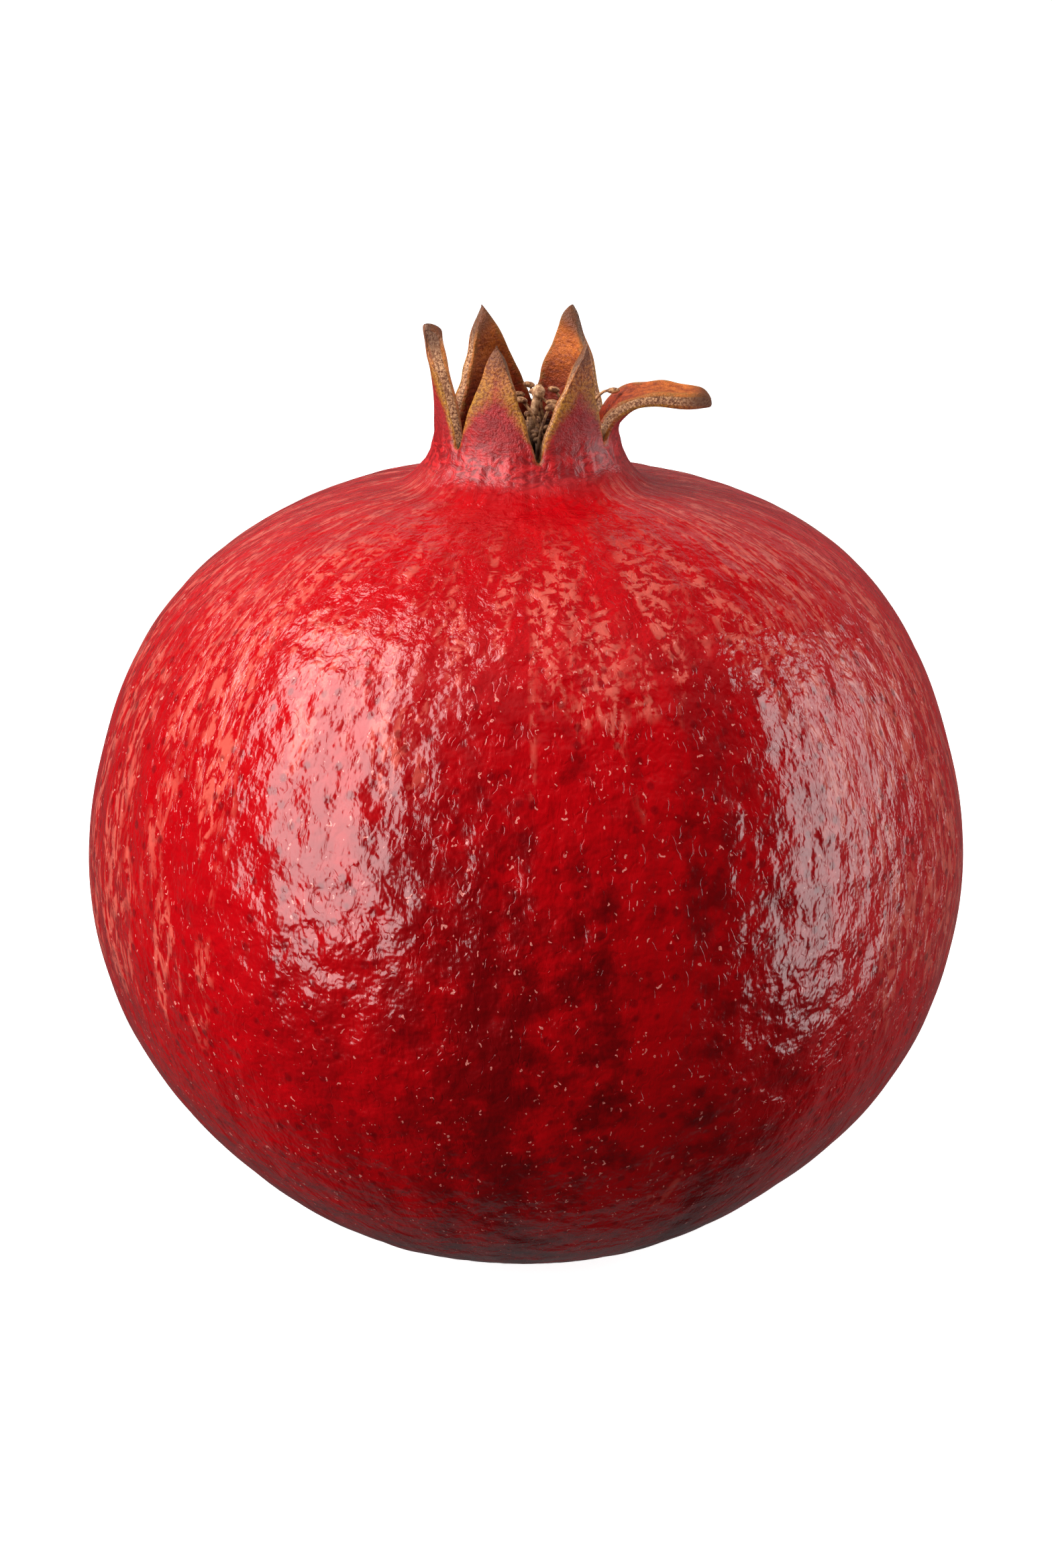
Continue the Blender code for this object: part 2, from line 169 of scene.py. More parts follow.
# Style: a leaning stalk on a swollen foot, with a round stigma
STYLE_HEIGHT = 11.2 * MM
STYLE_LEAN = 1.5 * MM
STYLE_FOOT_RADIUS = 1.4 * MM
STYLE_RADIUS = 0.50 * MM
STYLE_FOOT = ((0, 1), (0.03, 0.98), (0.06, 0.9), (0.11, 0.62), (0.16, 0.43))
STYLE_STALK = ((0.28, 1.08), (0.4, 1), (0.55, 0.92), (0.7, 0.9), (0.86, 0.9))
STIGMA_RADIUS = 0.75 * MM
STIGMA_LATITUDES = (-58, -40, -20, 0, 20, 40, 58, 74)
STYLE_CLEAR = 1.5 * MM
STYLE_KNOTS = 12
STYLE_RESOLUTION = 4

# Stem stub: its cut end is the narrower one
STUB_RADIUS = 2.8 * MM
STUB_CUT_SHARE = 0.8
STUB_CLEAR = 0.5 * MM
STUB_RINGS = 8
STUB_ROUGHNESS = 0.12 * MM
STUB_TORN_SHARE = 0.4
STUB_FIBRE_SIZE = 0.6 * MM

# Steps in a full turn of the pieces that are turned about the fruit's axis
TURN_STEPS = 60

# Camera: at the photograph's angle above the table
CAMERA_TARGET = Vector((0, 0, 45 * MM))
CAMERA_DISTANCE = 0.6
CAMERA_RISE = math.radians(16)
CAMERA_LENS = 126.4
CAMERA_SENSOR = 36.0
CAMERA_SHIFT = 0.04

# Studio
FLOOR_SIZE = 8.0
SOFTBOXES = (
    {"name": "left_softbox", "azimuth": -60, "rise": 26, "roll": 30, "size": (0.46, 1.20), "radiance": 6.9},
    {"name": "right_softbox", "azimuth": 90, "rise": 4, "roll": -25, "size": (0.34, 0.78), "radiance": 4.6},
    {"name": "top_softbox", "azimuth": 20, "rise": 82, "roll": 0, "size": (1.00, 0.80), "radiance": 1.7},
)
FILL = "top_softbox"
SOFTBOX_DISTANCE = 0.65
BACKDROP_REACH = (math.cos(math.radians(65)), math.cos(math.radians(45)))
BACKDROP_LIGHT = 0.06
BACKDROP_GLOW = 0.4
BACKDROP_GLOW_RISE = (0.0, 0.5)
ROOM_LIGHT = 0.03
FLOOR_CELLS = 8
FLOOR_COLOURS = ((0.80, 0.80, 0.80, 1), (0.84, 0.84, 0.84, 1))
FLOOR_GLOW = 0.88

# Colours, as red, green and blue from 0 to 255. A pair gives the darks and the lights of a pattern.
BODY_REDS = ((98, 0, 3), (158, 0, 6))
# The left, right and upper reds are painted light: brighter red where the sides and the top are lit.
PAINTED_LIGHT_LEFT_RED = (160, 0, 7)
PAINTED_LIGHT_RIGHT_RED = (182, 0, 11)
PAINTED_LIGHT_UPPER_RED = (174, 0, 8)
# Salmon is partly the skin's own mottling and partly painted sheen.
SALMON_AND_SHEEN = (192, 80, 68)
DARK_SPOT = (100, 0, 5)
# The pale dot is partly a lenticel and partly a painted glint.
PALE_DOT_AND_GLINT = (212, 126, 116)
# The neck's darks are painted shade in the creases of its folds.
NECK_CREASE_SHADE_REDS = ((122, 0, 6), (180, 22, 26))
NECK_PATCH = (146, 0, 9)
WINE_RED = (126, 4, 6)
OLIVES = ((114, 70, 2), (172, 118, 22))
OCHRES = ((116, 56, 12), (188, 116, 48))
OUTER_TIP = (98, 52, 32)
INNER_ORANGES = ((140, 56, 6), (200, 104, 30))
INNER_REDS = ((96, 18, 2), (156, 46, 8))
INNER_RIM = (168, 112, 44)
INNER_TIP = (74, 34, 16)
# Painted shade, nearly black, down in the cup.
PAINTED_CUP_SHADE = (34, 10, 4)
EDGE_TANS = ((112, 62, 32), (206, 152, 108))
EDGE_BROWN = (140, 82, 40)
EDGE_TIP = (76, 42, 26)
NOTCH_GREEN = (52, 40, 8)
STAMEN_TANS = ((104, 58, 30), (200, 146, 98))
STYLE_TANS = ((140, 92, 58), (212, 166, 122))
# Painted shade on the stamens and the style where they stand low in the cup.
PAINTED_LOW_CUP_SHADE = (46, 22, 14)
CUT_WOODS = ((92, 64, 40), (160, 124, 84))
BARK = (70, 50, 36)
PITH = (58, 38, 24)

# Where a pattern of the skin begins and where it is full, in millimetres along the named axis
# The left, right and upper ranges place painted light.
LEFT_X = (6, -34)
RIGHT_X = (14, 40)
UPPER_Z = (52, 86)
BACK_Y = (-42, -26)
BACK_Z = (20, 42)
FRONT_Y = (-20, -38)
FRONT_Z = (84, 66)
FIELDS_Z = (40, 78)
BARE_Z = (80, 86)
NET_Z = (62, 80)
SPOTS_Z = (82, 70)
DOTS_Z = (88, 72)
# Where the painted shade on the stamens and style begins and where it is full, by height.
CUP_SHADE_Z = (95.5, 89)

# Sizes of the skin's patterns, in millimetres
BAND_SIZE = 8
CLOUD_SIZE = 3.5
FIELD_SIZE = 6
STRAND_SIZE = 0.95
NET_SIZE = 1.0
SPOT_SPACING = 2.2
DOT_SPACING = 1.0
DOT_LEAST = 0.07
DOT_SPREAD = 0.14
FOLD_SIZE = 0.85
PATCH_SIZE = 4.0
DRIFT_SIZE = 1.6
FIBRE_SIZE = 0.3
MOTTLE_SIZE = 0.7
SPECK_SIZE = 0.24
STAMEN_GRAIN = 0.5
STYLE_GRAIN = 0.4
WOOD_GRAIN = 0.35

# Relief of the skin, in millimetres, and its roughness. Each of the two kinds of swell has its size,
# how many finer layers it carries, how strong they are, and its height. The width of a crack is the
# square of how far the noise that it follows strays from its middle.
SWELLS = ((4.5, 1, 0.45, 0.80), (1.8, 2, 0.55, 0.34))
CRACK_SIZE = 1.4
CRACK_WIDTH = 0.0015
CRACK_DEPTH = 0.025
RIDGE_HEIGHT = 0.24
FRONT_RIDGE_LOSS = 0.15
FOLD_HEIGHT = 0.20
FIBRE_HEIGHT = 0.2
GLOSS_SIZE = 3.0
BODY_ROUGHNESS = 0.14
ROUGHNESS_SPREAD = 0.10
NECK_ROUGHNESS = 0.42
DRY_ROUGHNESS = 0.60


def bezier(points, t):
    a, b, c = points
    return a * (1 - t) ** 2 + b * 2 * t * (1 - t) + c * t * t


def eased(value):
    """0 below 0 and 1 above 1, with a smooth rise between."""
    t = min(max(value, 0), 1)
    return t * t * (3 - 2 * t)


def radial(azimuth):
    """Unit vector that points out from the axis at an azimuth."""
    a = math.radians(azimuth)
    return Vector((math.sin(a), -math.cos(a), 0))


def around(azimuth, radius, z):
    """The point at an azimuth and a radius, at a height."""
    return radial(azimuth) * radius + Vector((0, 0, z))


def superellipse(angle, height, powers):
    """Radius and rise above the equator at an angle, 0 at the equator and 90 degrees at the pole."""
    r = BODY_RADIUS * math.cos(angle) ** (2 / powers[0])
    return r, height * math.sin(angle) ** (2 / powers[1])


def angle_at_radius(radius, powers):
    return math.acos((radius / BODY_RADIUS) ** (powers[0] / 2))


def lobed(azimuth, radius, angle):
    """Radius swollen by the soft ridges, which fade out towards both poles."""
    ridge = math.cos(math.radians(LOBES * (azimuth - LOBE_AZIMUTH)))
    return radius * (1 + LOBE_DEPTH * math.cos(angle) ** LOBE_FADE * ridge)


def swollen(azimuth, angle):
    """Extra rise of the shoulder on the fruit's higher side."""
    side = 0.5 + 0.5 * math.cos(math.radians(azimuth - SWELL_AZIMUTH))
    return SWELL * side * math.sin(2 * max(angle, 0)) ** SWELL_FADE


def body_stations():
    """Rings from the middle of the dimple to the shoulder, as (radius, z, angle from the equator)."""
    pole = math.pi / 2
    stations = [(r * DIMPLE_RADIUS, depth * DIMPLE_DEPTH, pole) for r, depth in DIMPLE_RINGS]
    for share in (0, 0.25, 0.5, 0.75, 1):
        stations.append((DIMPLE_RADIUS + (FLAT_RADIUS - DIMPLE_RADIUS) * share, 0, pole))
    low = -angle_at_radius(FLAT_RADIUS, LOWER_POWERS)
    high = angle_at_radius(SHOULDER_RADIUS, UPPER_POWERS)
    for i in range(1, BODY_ROWS):
        angle = low + (high - low) * i / BODY_ROWS
        if angle < 0:
            r, drop = superellipse(-angle, LOWER_DEPTH, LOWER_POWERS)
            stations.append((r, EQUATOR_Z - drop, angle))
        else:
            r, rise = superellipse(angle, UPPER_HEIGHT, UPPER_POWERS)
            stations.append((r, EQUATOR_Z + rise, angle))
    r, rise = superellipse(high, UPPER_HEIGHT, UPPER_POWERS)
    stations.append((r, EQUATOR_Z + rise, pole))
    return stations


def neck_radius(t):
    """Outer radius of the neck, from the shoulder at t = 0 to the rim at t = 1."""
    end = math.exp(-FLARE_RATE)
    fade = (math.exp(-FLARE_RATE * t) - end) / (1 - end)
    return RIM_RADIUS + (SHOULDER_RADIUS - RIM_RADIUS) * fade


def sector(index, u):
    """Azimuth, half angle and notch height at u across a sepal's sector, u from -1 to 1."""
    following = (index + 1) % len(SEPALS)
    start = NOTCH_AZIMUTHS[index]
    end = NOTCH_AZIMUTHS[following] + (360 if following == 0 else 0)
    share = (u + 1) / 2
    notch_z = NOTCH_Z[index] * (1 - share) + NOTCH_Z[following] * share
    return start + (end - start) * share, (end - start) / 2, notch_z


def lean_at(leans, s):
    """Lean in radians at a share s of the sepal's length, eased between the listed values."""
    place = s * (len(leans) - 1)
    i = min(int(place), len(leans) - 2)
    f = eased(place - i)
    return math.radians(leans[i] * (1 - f) + leans[i + 1] * f)


@functools.cache
def sepal_spine(index, s):
    """Outward run, rise and lean of the outer face's middle line at a share s of its length."""
    sepal = SEPALS[index]
    run = rise = 0.0
    step = s * sepal["length"] * MM / SPINE_STEPS
    for i in range(SPINE_STEPS):
        lean = lean_at(sepal["lean"], s * (i + 0.5) / SPINE_STEPS)
        run += math.sin(lean) * step
        rise += math.cos(lean) * step
    return run, rise, lean_at(sepal["lean"], s)


def ragged(index, u, s):
    """How much wider a sepal is at a height because its margin is uneven, as a factor."""
    place = Vector((index * 7.3, 3.1 if u > 0 else 0.0, s * RAGGED_WAVES))
    return 1 + RAGGED * abs(u) * eased(s * 5) * noise.noise(place)


def sepal_point(index, u, s, inner):
    """A point of a sepal: u across it, s from 0 at the notches to 1 at the tip.

    The cross-section starts level at the root, so that neighbours meet, and then turns with the lean.
    """
    sepal = SEPALS[index]
    azimuth, half, notch_z = sector(index, u)
    middle = azimuth - u * half
    run, rise, lean = sepal_spine(index, s)
    end = max(0, s - TIP_ROUND) / (1 - TIP_ROUND)
    rounding = math.sqrt(1 - (1 - TIP_BEVEL**2) * end * end)
    depth = bezier((WALL, SEPAL_WALL, sepal["tip"] * MM), s) * inner * rounding
    arc_radius = RIM_RADIUS - depth
    across = arc_radius * math.sin(math.radians(u * half)) * (1 - s * TIP_END) ** sepal["taper"]
    across *= ragged(index, u, s)
    sag = arc_radius - math.sqrt(arc_radius**2 - across**2)
    across += sepal["swerve"] * MM * s * s
    tilt = lean * min(1, s / ROOT_SHARE)
    inward = Vector((0, 0, math.sin(tilt))) - radial(middle) * math.cos(tilt)
    twist = BENT_TWIST * s if index == BENT_SEPAL else 0
    turned_side = radial(middle + 90) * math.cos(twist) + inward * math.sin(twist)
    turned_inward = inward * math.cos(twist) - radial(middle + 90) * math.sin(twist)
    foot = around(middle, RIM_RADIUS + run, notch_z + rise)
    return foot + turned_side * across + turned_inward * (depth + sag)


def skin_rows():
    """The skin from the dimple, up the outside, over the sepals and down into the cup.

    Each row is a function of the sector's index and u, the values that the row gives it, and where
    it lies: crown is -1 on the body, rises to 0 up the neck and to 1 at a sepal's tip, and inner is
    0 outside and 1 inside. Also gives the rows where the outer face leaves the rim, where it
    reaches the tip, and where the inner face comes back to the rim.
    """
    stations = body_stations()
    shoulder_z = stations[-1][1]

    def body(k, u, station):
        r, z, angle = station
        azimuth = sector(k, u)[0]
        return around(azimuth, lobed(azimuth, r, angle), z + swollen(azimuth, angle))

    def neck(k, u, t):
        azimuth, _, notch_z = sector(k, u)
        return around(azimuth, neck_radius(t), shoulder_z + (notch_z - shoulder_z) * t)

    def cup_wall(k, u, t):
        azimuth, _, notch_z = sector(k, u)
        low = CUP_FLOOR_Z + CUP_CORNER
        return around(azimuth, CUP_RADIUS, notch_z + (low - notch_z) * t)

    def cup_floor(k, u, r):
        return around(sector(k, u)[0], r, CUP_FLOOR_Z)

    rows = [(body, (station,), -1, 0) for station in stations]
    for i in range(1, NECK_ROWS):
        rows.append((neck, (i / NECK_ROWS,), i / NECK_ROWS - 1, 0))
    rim_row = len(rows)
    for i in range(SEPAL_ROWS + 1):
        rows.append((sepal_point, (i / SEPAL_ROWS, 0), i / SEPAL_ROWS, 0))
    tip_row = len(rows) - 1
    for i in range(SEPAL_ROWS, -1, -1):
        rows.append((sepal_point, (i / SEPAL_ROWS, 1), i / SEPAL_ROWS, 1))
    inner_row = len(rows) - 1
    for i in range(1, CUP_ROWS + 1):
        rows.append((cup_wall, (i / CUP_ROWS,), -i / CUP_ROWS, 1))
    for r in (CUP_RADIUS - CUP_CORNER, 0.75 * CUP_RADIUS, 0.5 * CUP_RADIUS, 0.25 * CUP_RADIUS, 0):
        rows.append((cup_floor, (r,), -1, 1))
    return rows, (rim_row, tip_row, inner_row)


def margin_distance(index, u, crown):
    """Distance to the nearest sepal margin, or below the rim to the nearest notch."""
    half = math.radians(sector(index, u)[1])
    side = (1 - abs(u)) * half * RIM_RADIUS
    if crown < 0:
        return math.hypot(side, crown * (NOTCH_Z[index] - CUP_FLOOR_Z))
    sepal = SEPALS[index]
    side *= (1 - crown * TIP_END) ** sepal["taper"]
    return min(side, (1 - crown) * sepal["length"] * MM)


def bridge_sepal_side(bm, verts, side, marks):
    """Closes one side of a sepal, between the edge of its outer face and that of its inner face."""
    rim_row, tip_row, inner_row = marks
    outer = {v for v, (column, row) in verts.items() if column == side and rim_row <= row <= tip_row}
    inner = {v for v, (column, row) in verts.items() if column == side and tip_row < row <= inner_row}
    chains = [edge for edge in bm.edges if set(edge.verts) <= outer or set(edge.verts) <= inner]
    bmesh.ops.bridge_loops(bm, edges=chains)


def coarse_skin():
    """Six sectors of one skin, each with a sepal, merged where they meet.

    Its points carry crown, inner, margin, the distance to a margin, and flow, a point on a cylinder
    as wide as the body at the point's azimuth, as high as the skin is long up to there.
    """
    rows, marks = skin_rows()
    last_row = len(rows) - 1
    bm = bmesh.new()
    crowns = bm.verts.layers.float.new("crown")
    inners = bm.verts.layers.float.new("inner")
    margins = bm.verts.layers.float.new("margin")
    flows = bm.verts.layers.float_vector.new("flow")
    for index in range(len(SEPALS)):
        grid = bmesh.ops.create_grid(bm, x_segments=COLUMNS_PER_SEPAL, y_segments=last_row, size=1)
        verts = {}
        for v in grid["verts"]:
            column = round((v.co.x + 1) / 2 * COLUMNS_PER_SEPAL)
            row = round((v.co.y + 1) / 2 * last_row)
            verts[v] = (column, row)
        length = {}
        previous = {}
        for v, (column, row) in sorted(verts.items(), key=lambda item: item[1][1]):
            place, values, crown, inner = rows[row]
            u = 2 * column / COLUMNS_PER_SEPAL - 1
            v.co = place(index, u, *values)
            length[column] = length.get(column, 0) + (v.co - previous.get(column, v.co)).length
            previous[column] = v.co.copy()
            v[crowns] = crown
            v[inners] = inner
            v[margins] = margin_distance(index, u, crown)
            v[flows] = around(sector(index, u)[0], BODY_RADIUS, length[column])
        for side in (0, COLUMNS_PER_SEPAL):
            bridge_sepal_side(bm, verts, side, marks)
    bmesh.ops.remove_doubles(bm, verts=bm.verts, dist=MERGE)
    bmesh.ops.dissolve_degenerate(bm, edges=bm.edges, dist=MERGE)
    bmesh.ops.recalc_face_normals(bm, faces=bm.faces)
    return bm


def scaled(point, size):
    """A point in units of a bump's size, which is one length or one for each direction."""
    sizes = size if isinstance(size, Vector) else (size, size, size)
    return Vector([value / unit for value, unit in zip(point, sizes)])


def unevenness(place, crown, inner, flow):
    """How far the skin stands proud of its plain form at a point, or below it where negative."""
    neck = eased((crown + 1) * 2) * (1 - eased(crown * 3))
    dry = eased(crown * 2)
    stand = eased(place.z / STAND_FADE)
    dents = DENT * noise.noise(scaled(place, DENT_SIZE)) * (1 - neck)
    wrinkles = WRINKLE * noise.noise(scaled(flow, WRINKLE_SIZE)) * (1 - dry)
    rolls = NECK_WRINKLE * noise.noise(scaled(flow, NECK_WRINKLE_SIZE)) * neck * (1 - inner)
    curls = CURL * noise.noise(scaled(place, CURL_SIZE)) * dry
    return (dents * (1 - dry) + wrinkles + rolls + curls) * stand


def add_piece(name, bm, finish):
    """Closes off a bmesh as a named, smooth piece in its finish."""
    mesh = bpy.data.meshes.new(name)
    bm.to_mesh(mesh)
    bm.free()
    mesh.shade_smooth()
    piece = bpy.data.objects.new(name, mesh)
    bpy.context.scene.collection.objects.link(piece)
    mesh.materials.append(finish)
    return piece


def evaluated_mesh(piece):
    """The mesh of an object with its modifiers or its bevel applied."""
    graph = bpy.context.evaluated_depsgraph_get()
    return bpy.data.meshes.new_from_object(piece.evaluated_get(graph))


def make_skin(finish):
    """The rind with its crown, subdivided once and then made uneven."""
    skin = add_piece("fruit_skin", coarse_skin(), finish)
    smooth = skin.modifiers.new("smooth", "SUBSURF")
    smooth.levels = 1
    smooth.render_levels = 1
    mesh = evaluated_mesh(skin)
    skin.modifiers.clear()
    skin.data = mesh
    crowns, inners, flows = (mesh.attributes[name].data for name in ("crown", "inner", "flow"))
    moved = []
    for i, v in enumerate(mesh.vertices):
        rise = unevenness(v.co, crowns[i].value, inners[i].value, Vector(flows[i].vector))
        moved.append(v.co + v.normal * rise)
    for v, place in zip(mesh.vertices, moved):
        v.co = place
    mesh.update()
    return skin


def style_spine(t):
    """A point of the style's middle line, from its foot at t = 0 to its top at t = 1."""
    return Vector((STYLE_LEAN * t * t, 0, STYLE_HEIGHT * t))


def clear_of_style(points):
    spine = [style_spine(i / STYLE_KNOTS) for i in range(STYLE_KNOTS + 1)]
    return all((point - knot).length > STYLE_CLEAR for point in points for knot in spine)


def arched(root, belly, tip, steps=FILAMENT_STEPS):
    return [bezier((root, belly, tip), i / steps) for i in range(steps + 1)]


def drawn_filament(number, count, draw, share=1):
    """The middle line of one filament, bent in over the cup. Heights are from the ring's foot."""
    azimuth = 360 * number / count + draw.uniform(-ROOT_SPREAD, ROOT_SPREAD)
    low = 0.5 * STAMEN_RING_HEIGHT
    rise = draw.uniform(*STAMEN_RISE) * share
    root = around(azimuth, draw.uniform(*STAMEN_ROOT), low)
    belly_azimuth = azimuth + draw.uniform(-BELLY_SPREAD, BELLY_SPREAD)
    belly = around(belly_azimuth, draw.uniform(*STAMEN_BELLY), low + STAMEN_BELLY_RISE * rise)
    tip_azimuth = azimuth + draw.uniform(-TIP_SPREAD, TIP_SPREAD)
    tip = around(tip_azimuth, draw.uniform(*STAMEN_REACH), low + rise)
    return arched(root, belly, tip)


def stray_filament():
    root = around(STRAY_AZIMUTH, STRAY_ROOT, 0.5 * STAMEN_RING_HEIGHT)
    belly = around(STRAY_AZIMUTH, STRAY_ROOT, STRAY_RISE + STRAY_ARCH)
    tip = around(STRAY_AZIMUTH, STRAY_REACH, STRAY_RISE)
    return arched(root, belly, tip)


def wavy(points, number):
    """A filament's line, with the small kinks that it took as it dried."""
    last = len(points) - 1
    kinked = []
    for i, point in enumerate(points):
        push = noise.noise_vector(Vector((number * 3.7, i * 0.55, 0.3))) * FILAMENT_WAVE
        kinked.append(point + push * eased(2 * i / last))
    return kinked


def tubes(name, runs, resolution):
    """The closed tubes of varying radius along several runs of points, as one bmesh."""
    curve = bpy.data.curves.new(name, "CURVE")
    curve.dimensions = "3D"
    curve.bevel_depth = 1
    curve.bevel_resolution = resolution
    curve.use_fill_caps = True
    for points, radii in runs:
        spline = curve.splines.new("POLY")
        spline.points.add(len(points) - 1)
        for knot, point, radius in zip(spline.points, points, radii):
            knot.co = (*point, 1)
            knot.radius = radius
    guide = bpy.data.objects.new(name, curve)
    bpy.context.scene.collection.objects.link(guide)
    bm = bmesh.new()
    bm.from_mesh(evaluated_mesh(guide))
    bpy.data.objects.remove(guide)
    bmesh.ops.remove_doubles(bm, verts=bm.verts, dist=MERGE)
    bmesh.ops.recalc_face_normals(bm, faces=bm.faces)
    return bm


def turn(bm, profile):
    """Turns a profile of (radius, z) points about the Z axis."""
    points = [bm.verts.new((r, 0, z)) for r, z in profile]
    edges = [bm.edges.new(pair) for pair in zip(points, points[1:])]
    full = {"cent": (0, 0, 0), "axis": (0, 0, 1), "angle": math.tau, "steps": TURN_STEPS}
    bmesh.ops.spin(bm, geom=points + edges, use_merge=True, **full)
    bmesh.ops.remove_doubles(bm, verts=bm.verts, dist=MERGE)
    bmesh.ops.recalc_face_normals(bm, faces=bm.faces)


def add_anther(bm, points, roll):
    """A dried anther at a filament's tip: a small bean with a cleft down one side."""
    along = (points[-1] - points[-2]).to_track_quat("Z", "Y").to_matrix().to_4x4()
    place = Matrix.Translation(points[-1]) @ along @ Matrix.Rotation(roll, 4, "X")
    ball = bmesh.ops.create_icosphere(bm, subdivisions=2, radius=1)
    for v in ball["verts"]:
        v.co.y -= ANTHER_CLEFT * eased(1 - abs(v.co.x) * ANTHER_CLEFT_RATE) * max(v.co.y, 0)
        v.co = place @ Vector([value * radius for value, radius in zip(v.co, ANTHER_RADII)])


def make_stamens(finish):
    """The ring on the cup's floor, with every filament and anther.

    The noise that kinks the filaments starts from the seed too, so that each run gives the same ones.
    """
    noise.seed_set(STAMEN_SEED)
    draw = random.Random(STAMEN_SEED)
    lines = []
    for number in range(STAMEN_COUNT):
        points = drawn_filament(number, STAMEN_COUNT, draw)
        while not clear_of_style(points):
            points = drawn_filament(number, STAMEN_COUNT, draw)
        lines.append((points, draw.uniform(*ANTHER_ROLL)))
    lines.append((stray_filament(), 0))
    draw = random.Random(SHORT_SEED)
    for number in range(SHORT_COUNT):
        points = drawn_filament(number, SHORT_COUNT, draw, SHORT_SHARE)
        if clear_of_style(points):
            lines.append((points, draw.uniform(*ANTHER_ROLL)))
    lines = [(wavy(points, number), roll) for number, (points, roll) in enumerate(lines)]
    thinning = []
    for i in range(FILAMENT_STEPS + 1):
        thinning.append(FILAMENT_RADIUS * (1 - FILAMENT_TAPER * i / FILAMENT_STEPS))
    bm = tubes("stamen_tuft", [(points, thinning) for points, _ in lines], FILAMENT_RESOLUTION)
    for points, roll in lines:
        add_anther(bm, points, roll)
    inner, outer = STAMEN_RING
    top = STAMEN_RING_HEIGHT
    bevel = STAMEN_RING_BEVEL * top
    side = (1 - STAMEN_RING_BEVEL) * top
    profile = ((inner, 0), (outer, 0), (outer, side), (outer - bevel, top))
    profile += ((inner + bevel, top), (inner, side), (inner, 0))
    turn(bm, profile)
    bmesh.ops.translate(bm, verts=bm.verts, vec=(0, 0, CUP_FLOOR_Z + GAP))
    return add_piece("stamen_tuft", bm, finish)


def make_style(finish):
    """One tube: the foot tapers into the stalk, and the stalk swells into the stigma."""
    shape = [(t, share * STYLE_FOOT_RADIUS) for t, share in STYLE_FOOT]
    shape += [(t, share * STYLE_RADIUS) for t, share in STYLE_STALK]
    for latitude in STIGMA_LATITUDES:
        a = math.radians(latitude)
        t = 1 - STIGMA_RADIUS * (1 - math.sin(a)) / STYLE_HEIGHT
        shape.append((t, STIGMA_RADIUS * math.cos(a)))
    points = [style_spine(t) for t, _ in shape]
    bm = tubes("style_stalk", [(points, [radius for _, radius in shape])], STYLE_RESOLUTION)
    bmesh.ops.translate(bm, verts=bm.verts, vec=(0, 0, CUP_FLOOR_Z + GAP))
    return add_piece("style_stalk", bm, finish)


def make_stem_end(finish):
    """The cut end of the stem, with the torn fibres of its face."""
    height = DIMPLE_DEPTH - GAP - STUB_CLEAR
    cut = STUB_CUT_SHARE * STUB_RADIUS
    waist = 0.5 * (STUB_RADIUS + cut)
    profile = [(STUB_RADIUS * i / STUB_RINGS, height) for i in range(STUB_RINGS + 1)]
    profile += [(waist, 0.5 * height)]
    profile += [(cut * i / STUB_RINGS, 0) for i in range(STUB_RINGS, -1, -1)]
    bm = bmesh.new()
    turn(bm, profile)
    for v in bm.verts:
        if v.co.z < STUB_TORN_SHARE * height:
            v.co.z += STUB_ROUGHNESS * (1 + noise.noise(scaled(v.co, STUB_FIBRE_SIZE)))
    bmesh.ops.translate(bm, verts=bm.verts, vec=(0, 0, STUB_CLEAR))
    return add_piece("stem_end", bm, finish)


def tone(red, green, blue):
    """A colour from its screen values, 0 to 255, as the shader wants it."""
    shares = [value / 255 for value in (red, green, blue)]
    linear = [c / 12.92 if c <= 0.04045 else ((c + 0.055) / 1.055) ** 2.4 for c in shares]
    return (*linear, 1)


def tones(pair):
    return [tone(*colour) for colour in pair]


class Value:
    """A socket that can be used in expressions: each operator adds one Math node."""

    def __init__(self, finish, socket):
        self.finish = finish
        self.socket = socket

    def beside(self, output):
        """Another output of the node that this value comes from."""
        return Value(self.finish, self.socket.node.outputs[output])

    def math(self, operation, a, b):
        return self.finish.node("ShaderNodeMath", {"operation": operation}, {0: a, 1: b})

    def __add__(self, other):
        return self.math("ADD", self, other)

    def __radd__(self, other):
        return self.math("ADD", other, self)

    def __sub__(self, other):
        return self.math("SUBTRACT", self, other)

    def __rsub__(self, other):
        return self.math("SUBTRACT", other, self)

    def __mul__(self, other):
        return self.math("MULTIPLY", self, other)

    def __rmul__(self, other):
        return self.math("MULTIPLY", other, self)


